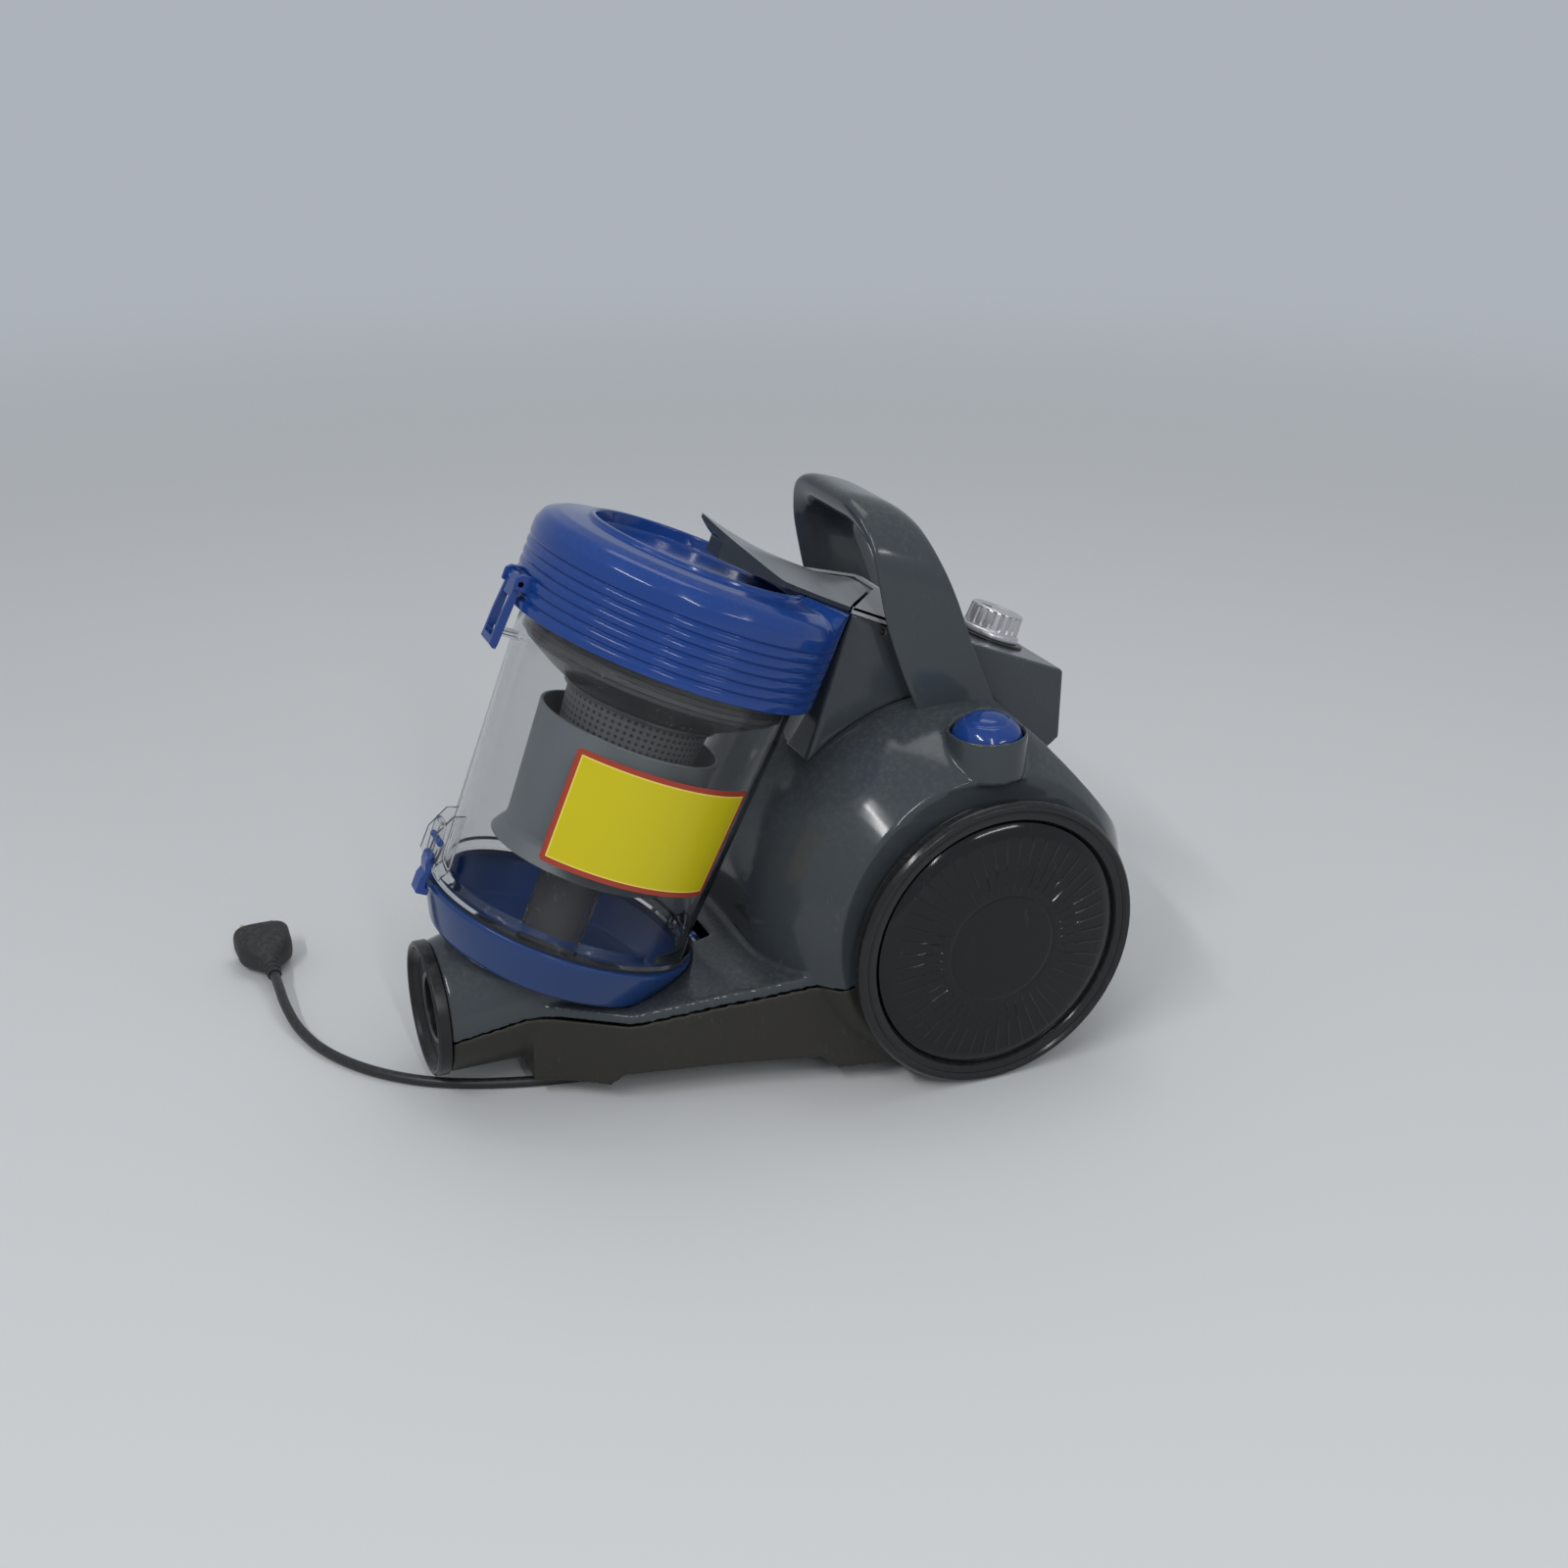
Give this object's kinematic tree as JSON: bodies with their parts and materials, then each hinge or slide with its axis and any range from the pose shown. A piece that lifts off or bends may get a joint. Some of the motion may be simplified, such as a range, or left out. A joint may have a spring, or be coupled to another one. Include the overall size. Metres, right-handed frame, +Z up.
{
  "type": "canister vacuum cleaner",
  "caption": "Bagless canister vacuum cleaner with a clear lift-off dust cup, carry handle, rear wheels, front caster, foot pedals, power knob and mains cord.",
  "frame": {"origin": "on the floor under the middle of the machine, halfway between the hose mouth and the rear cover and halfway between the wheels", "axes": "+Z up, -Y towards the hose mouth at the front, +Y towards the rear, +X to the machine's left, through the left wheel"},
  "size_m": [0.3505, 0.5883, 0.3426],
  "materials": {
    "grey_shell": "gloss",
    "dark_shell": "satin",
    "grey_satin": "satin",
    "black_trim": "gloss",
    "black_rubber": "matte",
    "tyre": "satin",
    "blue_plastic": "gloss",
    "clear_plastic": "clear gloss",
    "insert_grey": "satin",
    "silver_plastic": "satin metallic paint",
    "label_film": "satin film",
    "foam": "open foam",
    "steel": "bright",
    "light_metal": "satin",
    "brass": "bright",
    "inner_plastic": "satin",
    "board": "satin"
  },
  "bodies": {
    "body": {"upper_housing": "grey_shell", "lower_chassis": "dark_shell", "spine_housing": "grey_shell", "carry_handle": "grey_shell", "mouth_ring": "black_trim", "hose_socket": "black_trim", "inlet_seal": "black_rubber", "outlet_seal": "black_rubber", "dial_plate": "grey_satin", "speed_control": "inner_plastic", "circuit_board": "board", "motor_can": "steel", "motor_mounts": "black_rubber", "reel_bracket": "inner_plastic", "power_switch": "inner_plastic", "exhaust_filter": "foam", "housing_screws": "steel", "wheel_axles": "steel", "lever_pin": "steel", "lever_spring": "steel", "cord_bush": "black_rubber", "mains_cord": "black_rubber", "mains_plug": "black_trim", "plug_pins": "brass"},
    "left_wheel": {"left_wheel_disc": "black_trim", "left_tyre": "tyre"},
    "right_wheel": {"right_wheel_disc": "black_trim", "right_tyre": "tyre"},
    "caster": {"caster_fork": "dark_shell", "caster_pin": "steel"},
    "caster_roller": {"caster_wheel": "black_trim"},
    "power_button": {"power_pedal": "blue_plastic", "power_pedal_spring": "steel"},
    "rewind_button": {"rewind_pedal": "blue_plastic", "rewind_pedal_spring": "steel"},
    "reel_brake": {"brake_lever": "inner_plastic", "brake_pad": "black_rubber"},
    "knob": {"power_knob": "silver_plastic", "knob_shaft": "steel"},
    "lever": {"release_lever": "grey_satin"},
    "cup": {"cup_wall": "clear_plastic", "cup_lid": "blue_plastic", "lid_seal": "black_rubber", "insert_flange": "insert_grey", "mesh_filter": "insert_grey", "cyclone_bell": "insert_grey", "inlet_tube": "insert_grey", "foam_filter": "foam", "bottom_door": "blue_plastic", "door_seal": "black_rubber", "door_hinge_pin": "steel", "cup_label": "label_film"},
    "lid_clip": {"lid_latch": "blue_plastic"},
    "door_hook": {"door_latch": "blue_plastic"},
    "rear_cover": {"exhaust_grille": "black_trim"},
    "reel": {"cord_reel": "inner_plastic", "wound_cord": "black_rubber", "rewind_mainspring": "steel"},
    "rotor": {"motor_rotor": "steel", "fan_wheel": "light_metal"}
  },
  "joints": [
    {"name": "left_wheel_spin", "type": "hinge", "parent": "body", "child": "left_wheel", "pos_m": [0.12, 0.093, 0.09], "axis": [1, 0, 0], "continuous": true},
    {"name": "right_wheel_spin", "type": "hinge", "parent": "body", "child": "right_wheel", "pos_m": [-0.12, 0.093, 0.09], "axis": [1, 0, 0], "continuous": true},
    {"name": "caster_swivel", "type": "hinge", "parent": "body", "child": "caster", "pos_m": [0, -0.108, 0.03], "axis": [0, 0, 1], "continuous": true},
    {"name": "caster_roll", "type": "hinge", "parent": "caster", "child": "caster_roller", "pos_m": [0, -0.101, 0.011], "axis": [1, 0, 0], "continuous": true},
    {"name": "power_pedal_press", "type": "slide", "parent": "body", "child": "power_button", "axis": [0, 0, -1], "range_m": [0, 0.005], "stiffness_N_per_m": 800, "springref_m": -0.006, "deforming": ["power_pedal_spring"]},
    {"name": "rewind_pedal_press", "type": "slide", "parent": "body", "child": "rewind_button", "axis": [0, 0, -1], "range_m": [0, 0.005], "stiffness_N_per_m": 800, "springref_m": -0.006, "deforming": ["rewind_pedal_spring"]},
    {"name": "brake_swing", "type": "hinge", "parent": "body", "child": "reel_brake", "pos_m": [-0.09, 0.08, 0.15], "axis": [-1, 0, 0], "range_deg": [0, 20.05]},
    {"name": "power_knob_turn", "type": "hinge", "parent": "body", "child": "knob", "pos_m": [0, 0.14838, 0.23185], "axis": [0, 0.3726, 0.928], "range_deg": [-135, 135]},
    {"name": "release_lever_lift", "type": "hinge", "parent": "body", "child": "lever", "pos_m": [0, 0.05383, 0.26076], "axis": [-1, 0, 0], "range_deg": [0, 10], "stiffness_Nm_per_rad": 0.3, "springref_deg": -11.46},
    {"name": "cup_lift", "type": "slide", "parent": "body", "child": "cup", "axis": [0, -0.9171, 0.3987], "range_m": [0, 0.11]},
    {"name": "lid_latch_open", "type": "hinge", "parent": "cup", "child": "lid_clip", "pos_m": [0, -0.14934, 0.30385], "axis": [-1, 0, 0], "range_deg": [0, 60]},
    {"name": "door_latch_open", "type": "hinge", "parent": "cup", "child": "door_hook", "pos_m": [0, -0.20283, 0.157], "axis": [-1, 0, 0], "range_deg": [0, 12], "stiffness_Nm_per_rad": 0.05, "springref_deg": -11.46},
    {"name": "exhaust_grille_open", "type": "hinge", "parent": "body", "child": "rear_cover", "pos_m": [0, 0.2135, 0.0775], "axis": [-1, 0, 0], "range_deg": [0, 75]},
    {"name": "reel_spin", "type": "hinge", "parent": "body", "child": "reel", "pos_m": [-0.0665, 0.1, 0.08], "axis": [1, 0, 0], "continuous": true},
    {"name": "motor_spin", "type": "hinge", "parent": "body", "child": "rotor", "pos_m": [0, 0.062, 0.088], "axis": [1, 0, 0], "continuous": true}
  ],
  "couplings": [
    {"joint": "brake_swing", "follows": "rewind_pedal_press", "rad_per_m": 70}
  ]
}
